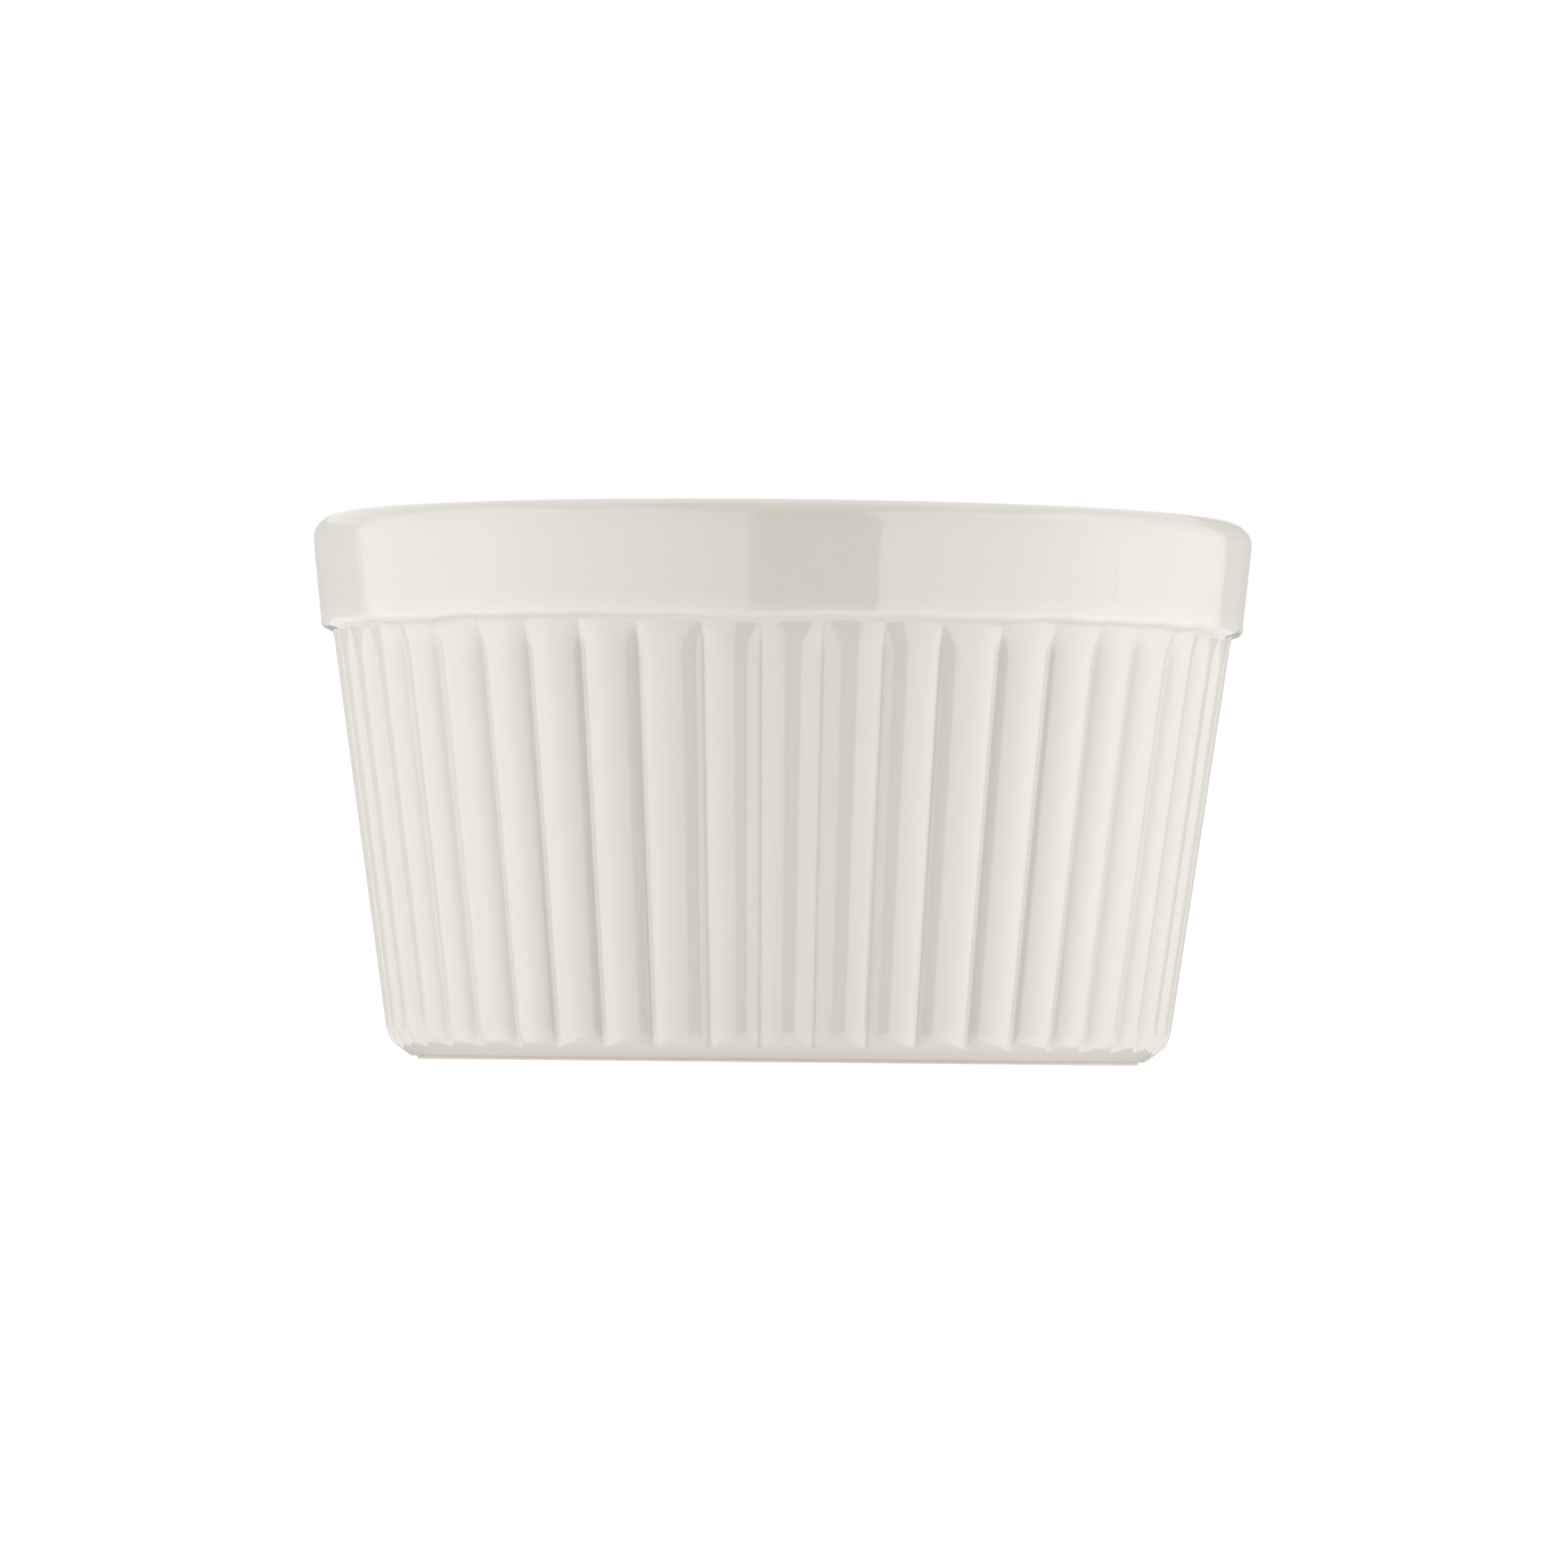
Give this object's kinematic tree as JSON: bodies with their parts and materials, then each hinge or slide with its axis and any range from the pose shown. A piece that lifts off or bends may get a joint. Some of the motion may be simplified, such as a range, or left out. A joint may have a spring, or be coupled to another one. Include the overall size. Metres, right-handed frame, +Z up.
{
  "type": "ramekin",
  "caption": "Round ivory glazed ceramic ramekin with a plain band below the rim, a fluted tapered wall, a smooth open well and a bare foot ring.",
  "frame": {"origin": "centre of the foot ring's resting plane, on the axis", "axes": "+Z up along the axis; -Y is the side that the picture shows, with +X to its right"},
  "size_m": [0.09, 0.09, 0.052],
  "materials": {
    "fired_clay": "bare fired clay, matt",
    "ivory_glaze": "glossy ivory glaze"
  },
  "bodies": {
    "root": {"ceramic_body": "fired_clay", "glaze_coat": "ivory_glaze", "base_glaze": "ivory_glaze"}
  },
  "joints": []
}
